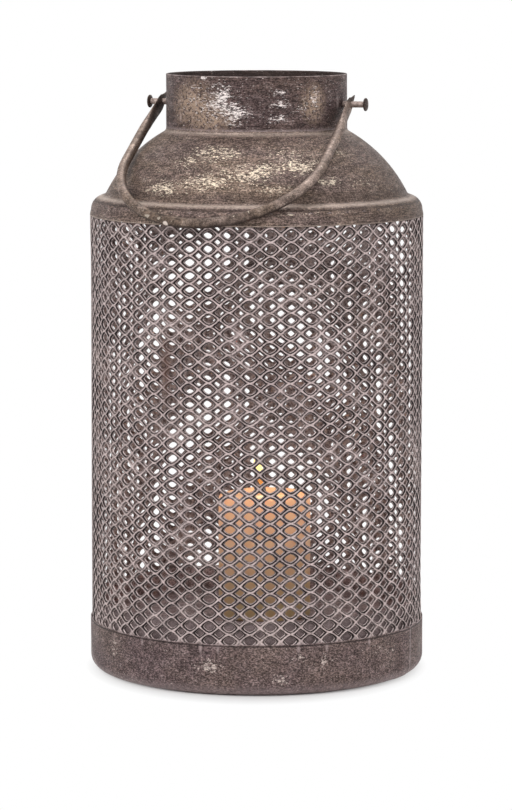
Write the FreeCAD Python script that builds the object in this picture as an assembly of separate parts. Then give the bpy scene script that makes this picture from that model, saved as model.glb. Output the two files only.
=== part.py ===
"""Punched tin lantern: a pierced sheet wall between a plain base band and a domed shoulder,
an open neck with two headed pins, a swinging bail and a pillar candle inside.

Millimetres. The origin is the middle of the base band's lower edge, Z goes up, X runs along
the two pins, and the bail lies forward over the shoulder, towards -Y.
"""
import FreeCAD, Part
import math
import os
from FreeCAD import Vector

# Sheet metal and the gaps between pieces
sheet = 1.0
seat_gap = 0.1
run_gap = 0.3
overrun = 2.0
flatness = 1e-6

# Base band: a strip bent round, its outer end lapped over its inner end and its foot turned in
band_radius = 137.8
band_height = 42.2
foot_round = 11.0
foot_bend_count = 3
foot_flange = 3.0
band_sides = 48
lap_width = 14.0
lap_slope = 5.0
lap_turn = -5.3

# Floor pan: a disc soldered inside the wall, level with the band's upper edge
pan_below_band = 0.2

# Pierced wall: one punched sheet rolled into a tube between the band and the shoulder
wall_view_height = 332.8
wall_foot = 16.2
eye_columns = 14
row_pitch = 42.0
eye_width = 39.0
eye_height = 32.2
diamond_width = 30.0
diamond_height = 24.8
plain_edge = 5.0

# Shoulder: a spun dome that ends in a rounded lip and a short flared skirt
skirt_height = 4.5
skirt_flare = 0.9
lip_round = 11.5
dome_rise = 53.0
dome_bulge = 5.7
dome_band_count = 4
lip_band_count = 3
spun_sides = 72

# Neck: a plain open tube that reaches down through the shoulder's hole
neck_radius = 74.0
neck_height = 46.0
neck_tuck = 5.0

# Pins: round shanks brazed into the neck, each with a disc head outside
pin_below_rim = 24.0
shank_radius = 2.6
pin_head_radius = 5.3
pin_head_thickness = 1.9

# Bail: one round rod bent to a U, its ends beaten flat and pierced for the pins
rod_radius = 4.25
bail_reach = 169.0
bail_side_gap = 8.6
pin_head_gap = 7.6
bail_shift_share = 0.17
flat_length = 38.0
eye_length = 12.0
flat_half_width = 6.5
flat_half_thickness = 1.4
left_tail = 15.0
right_tail = 11.0
tail_tip_radius = 0.9
rod_sides = 12
bend_steps = 18

# Candle: a pillar candle burnt a little, set down slightly off the middle of the pan
candle_radius = 38.1
candle_height = 101.6
pool_rim = 6.0
pool_depth = 3.0
candle_right = 6.1
candle_back = 2.2
wick_radius = 1.2
wick_stand = 7.0
wick_bend = 6.0

# Sizes that follow from the ones above
pan_top = band_height - pan_below_band
wall_radius = band_radius - sheet - seat_gap
skirt_edge = band_height + wall_view_height
lip_level = skirt_edge + skirt_height
lip_side = wall_radius - skirt_flare
lip_middle = lip_side - lip_round
crease = lip_level + lip_round
neck_foot = crease + dome_rise
rim = neck_foot + neck_height
shoulder_hole = neck_radius + seat_gap
pin_height = rim - pin_below_rim
shank_hole = shank_radius + run_gap
half_span = neck_radius + bail_side_gap + flat_half_thickness
bail_shift = bail_shift_share * bail_side_gap
head_face = half_span + flat_half_thickness + pin_head_gap

origin = Vector(0, 0, 0)
along_x = Vector(1, 0, 0)
up = Vector(0, 0, 1)


def circle_through(first, middle, last):
    """Centre and radius of the circle through three (radius, height) points."""
    circle = Part.Circle(*[Vector(r, 0, z) for r, z in (first, middle, last)])
    return (circle.Center.x, circle.Center.z), circle.Radius


def circles_meet(centre_a, radius_a, centre_b, radius_b):
    """The upper one of the two points where two circles in the outline's plane cross."""
    dr, dz = centre_b[0] - centre_a[0], centre_b[1] - centre_a[1]
    apart = math.hypot(dr, dz)
    along = (apart**2 + radius_a**2 - radius_b**2) / (2 * apart)
    aside = math.sqrt(radius_a**2 - along**2)
    middle = centre_a[0] + along * dr / apart, centre_a[1] + along * dz / apart
    pair = [(middle[0] - s * aside * dz / apart, middle[1] + s * aside * dr / apart) for s in (-1, 1)]
    return max(pair, key=lambda point: point[1])


def on_circle(centre, radius, degrees):
    """The point of a circle at an angle measured up from the outward direction."""
    angle = math.radians(degrees)
    return centre[0] + radius * math.cos(angle), centre[1] + radius * math.sin(angle)


def angle_at(centre, point):
    """The angle of a point about a centre, in degrees up from the outward direction."""
    return math.degrees(math.atan2(point[1] - centre[1], point[0] - centre[0]))


# The dome's outer line is an arc that stands a bulge above the straight line down to the lip
dome_top = (shoulder_hole, neck_foot)
dome_end = (lip_middle, crease)
dome_chord = math.hypot(dome_end[0] - dome_top[0], dome_end[1] - dome_top[1])
dome_middle = (
    (dome_top[0] + dome_end[0]) / 2 + dome_bulge * (dome_top[1] - dome_end[1]) / dome_chord,
    (dome_top[1] + dome_end[1]) / 2 + dome_bulge * (dome_end[0] - dome_top[0]) / dome_chord,
)
dome_centre, dome_radius = circle_through(dome_top, dome_middle, dome_end)
lip_centre = (lip_middle, lip_level)


def floor_pan():
    """The floor that the candle stands on."""
    radius = flat_reach(wall_radius) - sheet - seat_gap
    return Part.makeCylinder(radius, sheet, Vector(0, 0, pan_top - sheet))


def flat_reach(corner_radius):
    """How far from the axis the flats of the wall's rolled sheet lie, given its bend lines."""
    return corner_radius * math.cos(math.pi / (2 * eye_columns))


def rolled(flats_out, low, high):
    """An upright solid with one flat for each column of openings, as the sheet is rolled."""
    corner = flats_out / math.cos(math.pi / (2 * eye_columns))
    turns = [math.pi * (k + 0.5) / eye_columns for k in range(2 * eye_columns)]
    spots = [Vector(corner * math.cos(turn), corner * math.sin(turn), low) for turn in turns]
    return Part.Face(Part.makePolygon(spots + spots[:1])).extrude(Vector(0, 0, high - low))


def piercing(width, height, degrees, level):
    """One four-cornered opening through the wall, pointed up, down and to both sides."""
    start = wall_radius - 2 * sheet - overrun
    corners = [(0, height / 2), (width / 2, 0), (0, -height / 2), (-width / 2, 0), (0, height / 2)]
    outline = Part.makePolygon([Vector(start, y, level + z) for y, z in corners])
    punch = Part.Face(outline).extrude(Vector(2 * sheet + 2 * overrun, 0, 0))
    punch.rotate(origin, up, degrees)
    return punch


def mesh_wall():
    """The punched sheet: columns of wide eyes and of small diamonds, half a row apart.

    Its plain foot stands in the band and its plain top edge is drawn in under the skirt.
    """
    flats = flat_reach(wall_radius)
    tucked = flat_reach(lip_side - sheet - seat_gap)
    step = skirt_edge - seat_gap
    outside = rolled(flats, wall_foot, step).fuse(rolled(tucked, step, lip_level))
    inside = rolled(flats - sheet, wall_foot, step - sheet).fuse(
        rolled(tucked - sheet, step - sheet, lip_level)
    )
    body = outside.cut(inside)
    low = band_height + plain_edge
    high = skirt_edge - sheet - plain_edge
    eye_rows = 1 + int((high - low - eye_height) / row_pitch)
    middle = (low + high) / 2
    half_rows = (eye_rows - 1) / 2
    turn = 180 / eye_columns
    punches = []
    for column in range(eye_columns):
        for row in range(eye_rows):
            level = middle + (row - half_rows) * row_pitch
            punches.append(piercing(eye_width, eye_height, 2 * column * turn, level))
        for row in range(eye_rows + 1):
            level = middle + (row - half_rows - 0.5) * row_pitch
            if level - diamond_height / 2 > low and level + diamond_height / 2 < high:
                punches.append(piercing(diamond_width, diamond_height, (2 * column + 1) * turn, level))
    return body.cut(Part.makeCompound(punches))


def along_arc(centre, radius, start, end, steps):
    """Points along an arc from one angle to another, for the bands that the dome is spun in."""
    return [on_circle(centre, radius, start + (end - start) * k / steps) for k in range(steps + 1)]


def skin(rings):
    """The closed solid of flat faces between rings of points, one ring after another.

    The two end rings are capped. A four-cornered face that isn't flat is made of two triangles.
    """
    faces = [Part.Face(Part.makePolygon(ring + ring[:1])) for ring in (rings[0], rings[-1])]
    for lower, upper in zip(rings, rings[1:]):
        for k in range(len(lower)):
            a, b, c, d = lower[k - 1], lower[k], upper[k], upper[k - 1]
            lift = abs((c - a).dot((b - a).cross(d - a)))
            if lift < flatness * (b - a).Length * (d - a).Length:
                faces.append(Part.Face(Part.makePolygon([a, b, c, d, a])))
            else:
                faces.append(Part.Face(Part.makePolygon([a, b, c, a])))
                faces.append(Part.Face(Part.makePolygon([a, c, d, a])))
    shell = Part.makeShell(faces)
    shell.sewShape()
    solid = Part.makeSolid(shell)
    if solid.Volume < 0:
        solid.reverse()
    return solid


def spun(outline, sides=spun_sides):
    """The solid under a line of (radius, height) points, turned in many narrow flats."""
    turns = [2 * math.pi * k / sides for k in range(sides)]
    corners = [(radius / math.cos(math.pi / sides), height) for radius, height in outline]
    return skin([
        [Vector(corner * math.cos(turn), corner * math.sin(turn), height) for turn in turns]
        for corner, height in corners
    ])


def base_band():
    """The bent strip, its lower edge turned in to a flat flange that the lantern stands on."""
    foot = (band_radius - foot_round, foot_round)
    outside = spun(
        [(band_radius, band_height)]
        + along_arc(foot, foot_round, 0, -90, foot_bend_count),
        band_sides,
    )
    inside = spun(
        [(band_radius - sheet, band_height)]
        + along_arc(foot, foot_round - sheet, 0, -90, foot_bend_count),
        band_sides,
    )
    opening = spun([(foot[0] - foot_flange, sheet), (foot[0] - foot_flange, 0)], band_sides)
    return outside.cut(inside).cut(opening).fuse(lap())


def lap():
    """The strip's outer end, which stands one sheet proud of the band above its turned-in foot."""
    lapped = band_radius + sheet
    end = lap_turn
    start = end - math.degrees(lap_width / band_radius)
    slope = start - math.degrees(lap_slope / band_radius)
    spots = [(band_radius - sheet / 2, slope), (band_radius, slope)]
    spots += [(lapped, turn) for turn in (start, (start + end) / 2, end)]
    spots += [(band_radius - sheet / 2, end), (band_radius - sheet / 2, slope)]
    corners = [Vector(*on_circle((0, 0), radius, turn), foot_round) for radius, turn in spots]
    return Part.Face(Part.makePolygon(corners)).extrude(Vector(0, 0, band_height - foot_round))


def shoulder():
    """The spun dome, its rounded lip and its skirt, open in the middle for the neck."""
    dome_in, lip_in = dome_radius - sheet, lip_round - sheet
    fold = circles_meet(dome_centre, dome_in, lip_centre, lip_in)
    top_turn, end_turn = angle_at(dome_centre, dome_top), angle_at(dome_centre, dome_end)
    fold_turn = angle_at(dome_centre, fold)
    outside = spun(
        along_arc(dome_centre, dome_radius, top_turn, end_turn, dome_band_count)
        + along_arc(lip_centre, lip_round, 90, 0, lip_band_count)[1:]
        + [(lip_side + skirt_flare, skirt_edge)]
    )
    inside = spun(
        along_arc(dome_centre, dome_in, top_turn, fold_turn, dome_band_count)
        + along_arc(lip_centre, lip_in, angle_at(lip_centre, fold), 0, lip_band_count)[1:]
        + [(lip_side + skirt_flare - sheet, skirt_edge)]
    )
    hole = spun([(shoulder_hole, neck_foot + sheet), (shoulder_hole, neck_foot - neck_tuck)])
    return outside.cut(inside).cut(hole)


def neck():
    """The open tube above the shoulder, drilled for the two pins."""
    foot = Vector(0, 0, neck_foot - neck_tuck)
    tube = Part.makeCylinder(neck_radius, neck_height + neck_tuck, foot)
    bore = Part.makeCylinder(neck_radius - sheet, neck_height + neck_tuck, foot)
    holes = Part.makeCylinder(
        shank_radius + seat_gap,
        2 * head_face,
        Vector(-head_face, 0, pin_height),
        along_x,
    )
    return tube.cut(bore).cut(holes)


def pins():
    """Two pins: each a round shank set flush with the neck's inner wall, and a disc head outside."""
    inside = neck_radius - sheet
    shank = Part.makeCylinder(shank_radius, head_face - inside, Vector(inside, 0, 0), along_x)
    head = Part.makeCylinder(pin_head_radius, pin_head_thickness, Vector(head_face, 0, 0), along_x)
    right = shank.fuse(head)
    right.translate(Vector(0, 0, pin_height))
    left = right.copy()
    left.rotate(origin, up, 180)
    return Part.makeCompound([left, right])


def bail_line(steps):
    """Points along the middle of the rod, hung straight down from the pins' axis at the origin."""
    straight = bail_reach - half_span
    sides = [(side * half_span, -straight * k / steps) for side in (-1, 1) for k in range(steps)]
    bend = [
        (half_span * math.cos(math.pi * k / steps), -straight - half_span * math.sin(math.pi * k / steps))
        for k in range(steps + 1)
    ]
    return [(x - bail_shift, z) for x, z in sides + bend]


def bail_rest():
    """The lean, in degrees from straight down, at which the let-down bail meets the shoulder."""
    outline = Part.Wire([
        Part.Arc(*[Vector(r, 0, z) for r, z in (dome_top, dome_middle, dome_end)]).toShape(),
        Part.Arc(*[
            Vector(r, 0, z)
            for r, z in (dome_end, on_circle(lip_centre, lip_round, 45), (lip_side, lip_level))
        ]).toShape(),
        Part.makeLine(Vector(lip_side, 0, lip_level), Vector(wall_radius, 0, skirt_edge)),
        Part.makeLine(Vector(wall_radius, 0, skirt_edge), Vector(wall_radius, 0, band_height)),
    ])
    line = [point for point in bail_line(24) if -point[1] > flat_length / 2]

    def clear(lean):
        sin, cos = math.sin(math.radians(lean)), math.cos(math.radians(lean))
        spots = [Vector(math.hypot(x, z * sin), 0, pin_height + z * cos) for x, z in line]
        least = min(outline.distToShape(Part.Vertex(spot))[0] for spot in spots)
        return least > rod_radius + run_gap

    lean = 120
    while clear(lean - 1):
        lean -= 1
    low, high = lean - 1, lean
    for _ in range(12):
        middle = (low + high) / 2
        low, high = (low, middle) if clear(middle) else (middle, high)
    return high


def rod_ring(wide, thick, level):
    """Points round the rod, wide along Y and thick along X, at a height."""
    turns = [2 * math.pi * (k + 0.5) / rod_sides for k in range(rod_sides)]
    return [Vector(thick * math.cos(turn), wide * math.sin(turn), level) for turn in turns]


def rod_end(tail):
    """Rings along one end of the rod, from its tip past the pin to where it is round."""
    half_way = (rod_radius + flat_half_width) / 2, (rod_radius + flat_half_thickness) / 2
    return [
        rod_ring(2 * tail_tip_radius, tail_tip_radius, tail),
        rod_ring(flat_half_width, flat_half_thickness, eye_length / 3),
        rod_ring(flat_half_width, flat_half_thickness, -eye_length),
        rod_ring(*half_way, -(flat_length + eye_length) / 2),
        rod_ring(rod_radius, rod_radius, -flat_length),
    ]


def bail():
    """The swinging handle, laid forward on the shoulder as it falls by itself."""
    straight = bail_reach - half_span
    aside = Vector(half_span, 0, 0)
    left = [[point - aside for point in ring] for ring in rod_end(left_tail)]
    right = [[Vector(-point.x, point.y, point.z) + aside for point in ring] for ring in rod_end(right_tail)]
    bend = []
    for step in range(bend_steps + 1):
        turn = math.pi * step / bend_steps
        bend.append([
            Vector(-(half_span - point.x) * math.cos(turn), point.y,
                   -(half_span - point.x) * math.sin(turn) - straight)
            for point in rod_ring(rod_radius, rod_radius, 0)
        ])
    solid = skin(left + bend + right[::-1])
    solid = solid.cut(Part.makeCylinder(shank_hole, 2 * head_face, Vector(-head_face, 0, 0), along_x))
    solid.translate(Vector(-bail_shift, 0, 0))
    solid.rotate(origin, along_x, -bail_rest())
    solid.translate(Vector(0, 0, pin_height))
    return solid


def candle():
    """A pillar of wax with a shallow pool inside its rim."""
    low = pan_top + seat_gap
    wax = Part.makeCylinder(candle_radius, candle_height, Vector(0, 0, low))
    pool = Part.makeCylinder(
        candle_radius - pool_rim,
        pool_depth,
        Vector(0, 0, low + candle_height - pool_depth),
    )
    wax = wax.cut(pool)
    wax.translate(Vector(candle_right, candle_back, 0))
    return wax


def wick():
    """The burnt wick: it stands up from the pool, then bends over to one side."""
    foot = pan_top + 2 * seat_gap + candle_height - pool_depth
    path = Part.makePolygon([
        Vector(0, 0, foot),
        Vector(0, 0, foot + wick_stand),
        Vector(-wick_bend / 2, 0, foot + wick_stand + wick_bend),
    ])
    section = Part.Wire(Part.Circle(Vector(0, 0, foot), up, wick_radius).toShape())
    string = path.makePipeShell([section], True, False, 1)
    string.translate(Vector(candle_right, candle_back, 0))
    return string


os.makedirs("parts", exist_ok=True)
pieces = {
    "base_band": base_band(),
    "floor_pan": floor_pan(),
    "mesh_wall": mesh_wall(),
    "shoulder": shoulder(),
    "neck": neck(),
    "pins": pins(),
    "bail": bail(),
    "candle": candle(),
    "wick": wick(),
}
for name, shape in pieces.items():
    shape.exportStep(f"parts/{name}.step")
    print(name, shape.isValid(), len(shape.Solids), round(shape.Volume), shape.BoundBox)
print("bail leans", round(bail_rest(), 2), "degrees from straight down")
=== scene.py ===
"""A punched tin lantern with a pillar candle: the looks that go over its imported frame.

Metres, in the frame's own axes: Z goes up from the floor, X runs along the bail's two pins,
and the bail lies forward over the shoulder, towards -Y.
"""
import math

import bmesh
import bpy
import numpy as np
from mathutils import Matrix, Vector, noise


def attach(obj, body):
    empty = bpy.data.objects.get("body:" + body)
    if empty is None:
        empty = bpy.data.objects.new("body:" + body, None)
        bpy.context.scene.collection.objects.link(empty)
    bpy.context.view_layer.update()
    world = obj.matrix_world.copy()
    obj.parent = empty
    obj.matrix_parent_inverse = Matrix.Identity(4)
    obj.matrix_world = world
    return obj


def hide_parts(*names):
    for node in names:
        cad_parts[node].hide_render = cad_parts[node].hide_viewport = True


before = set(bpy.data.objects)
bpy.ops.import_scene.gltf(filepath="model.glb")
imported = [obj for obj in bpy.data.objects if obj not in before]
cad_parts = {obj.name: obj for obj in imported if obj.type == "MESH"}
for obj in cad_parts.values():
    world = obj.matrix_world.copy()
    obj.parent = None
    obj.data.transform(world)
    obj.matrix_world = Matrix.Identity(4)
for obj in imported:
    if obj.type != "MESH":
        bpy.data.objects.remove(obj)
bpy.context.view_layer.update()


# Base band: one strip of tinned sheet bent into a ring, its foot turned in to stand on.
# Its outer end laps over the inner end at the front right and is soldered down there.
# The sheet is dull from the dip it was aged in, and rubbed bright along its upper edge.

band_radius = 0.1378
band_height = 0.0422
band_sheet = 0.001
band_edge = 0.0004
foot_round = 0.011
foot_flange = 0.003
lap_turn = math.radians(-5.3)
lap_width = 0.014
lap_slope = 0.005
band_dent = 0.0003
band_sides = 240
band_steps = 5
foot_steps = 8

# The points go round from the lap's edge, and the gap at that edge is a quarter narrower.
band_turns = [lap_turn - 2 * math.pi * k / (band_sides - 0.25) for k in range(band_sides)]


def spot(radius, turn, height):
    """A point at a distance from the lantern's axis, at a turn round it and at a height."""
    return Vector((radius * math.cos(turn), radius * math.sin(turn), height))


def pick(*pieces):
    """Selects some pieces and nothing else. The last of them is active."""
    bpy.ops.object.select_all(action="DESELECT")
    for piece in pieces:
        piece.select_set(True)
        bpy.context.view_layer.objects.active = piece


def draw_rings(name, rings, ends="open"):
    """Draws a circle out ring by ring into a skin. Its ends are left open, filled or joined."""
    pick()
    bpy.ops.mesh.primitive_circle_add(vertices=len(rings[0]), radius=rings[0][0].length or 1)
    piece = bpy.context.object
    piece.name = name
    piece.data.name = name
    order = piece.data.attributes.new("order", "INT", "POINT")
    order.data.foreach_set("value", range(len(rings[0])))
    bpy.ops.object.mode_set(mode="EDIT")
    for step, ring in enumerate(rings):
        if step:
            bpy.ops.mesh.extrude_edges_move()
        mesh = bmesh.from_edit_mesh(piece.data)
        place = mesh.verts.layers.int["order"]
        for corner in mesh.verts:
            if corner.select:
                corner.co = ring[corner[place]]
        if ends == "filled" and step in (0, len(rings) - 1):
            bpy.ops.mesh.edge_face_add()
            bpy.ops.mesh.select_mode(type="EDGE")
            bpy.ops.mesh.region_to_loop()
            bpy.ops.mesh.select_mode(type="VERT")
        bmesh.update_edit_mesh(piece.data)
    bpy.ops.mesh.select_all(action="SELECT")
    if ends == "joined":
        bpy.ops.mesh.remove_doubles(threshold=1e-7)
    bpy.ops.mesh.normals_make_consistent(inside=False)
    bpy.ops.object.mode_set(mode="OBJECT")
    piece.data.attributes.remove(piece.data.attributes["order"])
    return piece


def smooth(piece, degrees=40):
    """Shades a piece smoothly, apart from the edges that are sharper than an angle."""
    pick(piece)
    bpy.ops.object.shade_smooth_by_angle(angle=math.radians(degrees))


def band_reach(turn):
    """The band's outer radius, which grows by one sheet where the outer end laps over."""
    back = (lap_turn - turn) % (2 * math.pi) * band_radius
    rise = min(1, max(0, (lap_width + lap_slope - back) / lap_slope))
    return band_radius + rise * band_sheet


def band_ring(inset, height, dented):
    """One ring of the band's outside. The strip isn't rolled quite evenly."""
    ring = []
    for turn in band_turns:
        dent = -dented * band_dent * abs(noise.noise(spot(band_radius, turn, height) * 22))
        ring.append(spot(band_reach(turn) - inset + dent, turn, height))
    return ring


def band_inner_ring(outset, height):
    """One ring of the band's inside."""
    return [spot(band_radius - band_sheet + outset, turn, height) for turn in band_turns]


turned_in = [math.pi / 2 * k / foot_steps for k in range(foot_steps, -1, -1)]
flange = foot_round + foot_flange
side_height = band_height - band_edge - foot_round
levels = [foot_round + side_height * k / band_steps for k in range(1, band_steps + 1)]
inner_round = foot_round - band_sheet
base_band = draw_rings(
    "base_band_skin",
    [band_ring(flange, 0, 0)]
    + [band_ring(foot_round * (1 - math.cos(a)), foot_round * (1 - math.sin(a)), 1) for a in turned_in]
    + [band_ring(0, level, 1) for level in levels]
    + [band_ring(band_edge, band_height, 0)]
    + [band_inner_ring(band_edge / 2, band_height), band_inner_ring(0, band_height - band_edge)]
    + [
        band_inner_ring(inner_round * (math.cos(a) - 1), foot_round - inner_round * math.sin(a))
        for a in turned_in[::-1]
    ]
    + [band_inner_ring(-inner_round - foot_flange, band_sheet), band_ring(flange, 0, 0)],
    ends="joined",
)
smooth(base_band)
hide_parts("base_band")
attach(base_band, "lantern")


def tone(red, green, blue):
    """A shader's colour from screen values of 0 to 255."""
    screen = [value / 255 for value in (red, green, blue)]
    return [c / 12.92 if c <= 0.04045 else ((c + 0.055) / 1.055) ** 2.4 for c in screen] + [1]


def node(tree, kind, inputs=(), **settings):
    """Adds a shader node. An input is a plain value or another node's output."""
    made = tree.nodes.new("ShaderNode" + kind)
    for name, value in settings.items():
        setattr(made, name, value)
    for socket, value in dict(inputs).items():
        if isinstance(value, bpy.types.NodeSocket):
            tree.links.new(value, made.inputs[socket])
        else:
            made.inputs[socket].default_value = value
    return made


def sums(tree, operation, *values):
    """The outcome of a math node."""
    return node(tree, "Math", enumerate(values), operation=operation).outputs[0]


def between(tree, value, low, high, start=0, end=1):
    """A value brought from one range to another and kept inside it."""
    ranges = {"Value": value, "From Min": low, "From Max": high, "To Min": start, "To Max": end}
    return node(tree, "MapRange", ranges).outputs[0]


def over(tree, share, under, top, mode="MIX"):
    """One colour laid over another by a share."""
    inputs = {0: share, 6: under, 7: top}
    return node(tree, "Mix", inputs, data_type="RGBA", blend_type=mode).outputs[2]


def noise_at(tree, place, scale, detail, rough):
    """A noise texture's value at a place."""
    inputs = {"Vector": place, "Scale": scale, "Detail": detail, "Roughness": rough}
    return node(tree, "TexNoise", inputs).outputs["Fac"]


def vectors(tree, operation, *values):
    """The outcome of a vector math node: a number from LENGTH and DOT_PRODUCT, or else a vector."""
    outcome = "Value" if operation in ("LENGTH", "DOT_PRODUCT") else "Vector"
    return node(tree, "VectorMath", enumerate(values), operation=operation).outputs[outcome]


def highest(tree, mask, *others):
    """The greatest of several masks."""
    for other in others:
        mask = sums(tree, "MAXIMUM", mask, other)
    return mask


def times(tree, mask, *others):
    """Several masks and shares multiplied."""
    for other in others:
        mask = sums(tree, "MULTIPLY", mask, other)
    return mask


def line_at(tree, value, level, reach, core, share=1):
    """A soft line where a value comes to a level: full inside its core and gone past its reach."""
    off = sums(tree, "ABSOLUTE", sums(tree, "SUBTRACT", value, level))
    return between(tree, off, reach, core, 0, share)


def own(tree, kind="Object"):
    """A point's place on its piece, or its Normal there, whole and as X, Y and Z."""
    whole = node(tree, "TexCoord").outputs[kind]
    return whole, node(tree, "SeparateXYZ", {0: whole}).outputs


def shader_group(name, inputs, outputs):
    """An empty node group with named inputs and outputs, and its two end nodes."""
    tree = bpy.data.node_groups.new(name, "ShaderNodeTree")
    for label, value in inputs.items():
        kind = "Float" if isinstance(value, (int, float)) else "Color" if len(value) == 4 else "Vector"
        made = tree.interface.new_socket(label, in_out="INPUT", socket_type="NodeSocket" + kind)
        made.default_value = value
    for label, kind in outputs.items():
        tree.interface.new_socket(label, in_out="OUTPUT", socket_type="NodeSocket" + kind)
    return tree, tree.nodes.new("NodeGroupInput").outputs, tree.nodes.new("NodeGroupOutput").inputs


def aged_metal_group():
    """Sheet aged in a bath: clouds of grey and brown, dark blotches, grain, chips and rubbed edges."""
    tree, given, made = shader_group(
        "Aged metal",
        {
            "Ground": tone(112, 99, 97), "Shade": tone(62, 52, 51), "Warm": tone(112, 97, 80),
            "Warmth": 0.6, "Chip": tone(225, 214, 204), "Chips": 0, "Worn": tone(176, 161, 160),
            "Wear": 0, "Streaks": 3, "Grain": 1.4, "Blotches": 1, "Flecks": 0.65, "Strokes": 0.28,
        },
        {"Colour": "Color", "Roughness": "Float", "Height": "Float"},
    )
    place = own(tree)[0]
    squash = node(tree, "CombineXYZ", {"X": 1, "Y": 1, "Z": given["Streaks"]}).outputs[0]
    streaked = vectors(tree, "MULTIPLY", place, squash)
    brushed = vectors(tree, "MULTIPLY", streaked, squash)
    cloud = noise_at(tree, streaked, 15, 4, 0.6)
    blotch = noise_at(tree, streaked, 75, 6, 0.68)
    fleck = noise_at(tree, streaked, 360, 4, 0.75)
    brush = noise_at(tree, brushed, 110, 3, 0.7)
    grain = noise_at(tree, vectors(tree, "MULTIPLY", place, (1, 1, 1.6)), 600, 3, 0.75)

    warm_share = times(tree, between(tree, cloud, 0.4, 0.62), given["Warmth"])
    colour = over(tree, warm_share, given["Ground"], given["Warm"])
    dull = times(tree, between(tree, blotch, 0.52, 0.3, 0, 0.8), given["Blotches"])
    light = times(tree, between(tree, blotch, 0.52, 0.74, 0, 0.5), given["Blotches"])
    colour = over(tree, dull, colour, given["Shade"])
    colour = over(tree, light, colour, given["Worn"])
    strokes = times(tree, between(tree, brush, 0.35, 0.65, -1, 1), given["Strokes"])
    speckle = sums(tree, "ADD", between(tree, grain, 0.38, 0.64, -0.42, 0.52), strokes)
    speckle = sums(tree, "MAXIMUM", sums(tree, "MULTIPLY_ADD", speckle, given["Grain"], 1), 0.42)
    grey = node(tree, "CombineColor", {"Red": speckle, "Green": speckle, "Blue": speckle}).outputs[0]
    colour = over(tree, 1, colour, grey, mode="MULTIPLY")
    flecked = times(tree, between(tree, fleck, 0.41, 0.35), given["Flecks"])
    colour = over(tree, flecked, colour, given["Shade"])

    thick = between(tree, noise_at(tree, streaked, 70, 3, 0.65), 0.36, 0.64, 0.1, 0.24)
    chance = sums(tree, "MULTIPLY_ADD", given["Chips"], thick, fleck)
    chipped = times(tree, between(tree, chance, 0.635, 0.68), between(tree, grain, 0.4, 0.5, 0.4, 1))
    colour = over(tree, chipped, colour, given["Chip"])
    rubbed = times(tree, given["Wear"], between(tree, fleck, 0.36, 0.56, 0.35, 1))
    colour = over(tree, rubbed, colour, given["Worn"])

    rough = between(tree, blotch, 0.35, 0.7, 0.66, 0.46)
    rough = sums(tree, "MULTIPLY_ADD", rubbed, -0.1, rough)
    height = sums(tree, "MULTIPLY_ADD", grain, 0.5, times(tree, blotch, 0.6))
    height = sums(tree, "MULTIPLY_ADD", chipped, -0.12, height)
    for label, outcome in (("Colour", colour), ("Roughness", rough), ("Height", height)):
        tree.links.new(outcome, made[label])
    return tree


def rubbed_patch_group():
    """A soft-edged place on the metal, given by its middle and how far it reaches each way."""
    tree, given, made = shader_group(
        "Rubbed patch",
        {"Middle": (0, 0, 0), "Reach": (0.01, 0.01, 0.01)},
        {"Mask": "Float"},
    )
    away = vectors(tree, "SUBTRACT", own(tree)[0], given["Middle"])
    far = vectors(tree, "LENGTH", vectors(tree, "DIVIDE", away, given["Reach"]))
    tree.links.new(between(tree, far, 1, 0.25), made["Mask"])
    return tree


aged_metal = aged_metal_group()
rubbed_patch = rubbed_patch_group()


# The lantern was photographed with its front turned this far from -Y towards +X.
front_degrees = 20
millimetre = 0.001


def facing(degrees, radius, height):
    """A point of a round piece, turned from the photographed front towards its right."""
    return spot(radius, math.radians(degrees - 90 + front_degrees), height)


def patch_at(tree, middle, reach):
    """The mask of one soft-edged place."""
    return node(tree, "Group", {"Middle": middle, "Reach": reach}, node_tree=rubbed_patch).outputs["Mask"]


def patch_round(tree, degrees, radius, height, reach, share=1):
    """A patch of a round piece, as strong as its share. Its place and reach are in millimetres."""
    middle = facing(degrees, radius * millimetre, height * millimetre)
    return times(tree, patch_at(tree, middle, Vector(reach) * millimetre), share)


def patched(tree, rows):
    """The greatest of several patches, each given by a row."""
    return highest(tree, *[patch_round(tree, *row) for row in rows])


def lead(outcome, made, socket):
    """Leads a node's outcome into an input of another node."""
    made.id_data.links.new(outcome, made.inputs[socket])


def new_material(name):
    """A material with nothing in it yet, and its tree."""
    made = bpy.data.materials.new(name)
    made.use_nodes = True
    made.node_tree.nodes.clear()
    return made, made.node_tree


def surface_of(tree, inputs):
    """The surface of a material, led to its output."""
    surface = node(tree, "BsdfPrincipled", inputs)
    node(tree, "OutputMaterial", {"Surface": surface.outputs[0]})
    return surface


def metal_finish(name, settings, patches=(), metallic=0.35):
    """A material of aged metal, chipped in places. Its tree, coat and surface are given too."""
    made, tree = new_material(name)
    coat = node(tree, "Group", settings, node_tree=aged_metal)
    if patches:
        lead(patched(tree, patches), coat, "Chips")
    relief = node(tree, "Bump", {"Strength": 0.5, "Distance": 0.0006, "Height": coat.outputs["Height"]})
    surface = surface_of(tree, {
        "Base Color": coat.outputs["Colour"],
        "Roughness": coat.outputs["Roughness"],
        "Normal": relief.outputs["Normal"],
        "Metallic": metallic,
        "Specular IOR Level": 0.25,
    })
    return made, tree, coat, surface


def dress(piece, material):
    """Gives a piece one material and nothing else."""
    piece.data.materials.clear()
    piece.data.materials.append(material)


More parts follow.
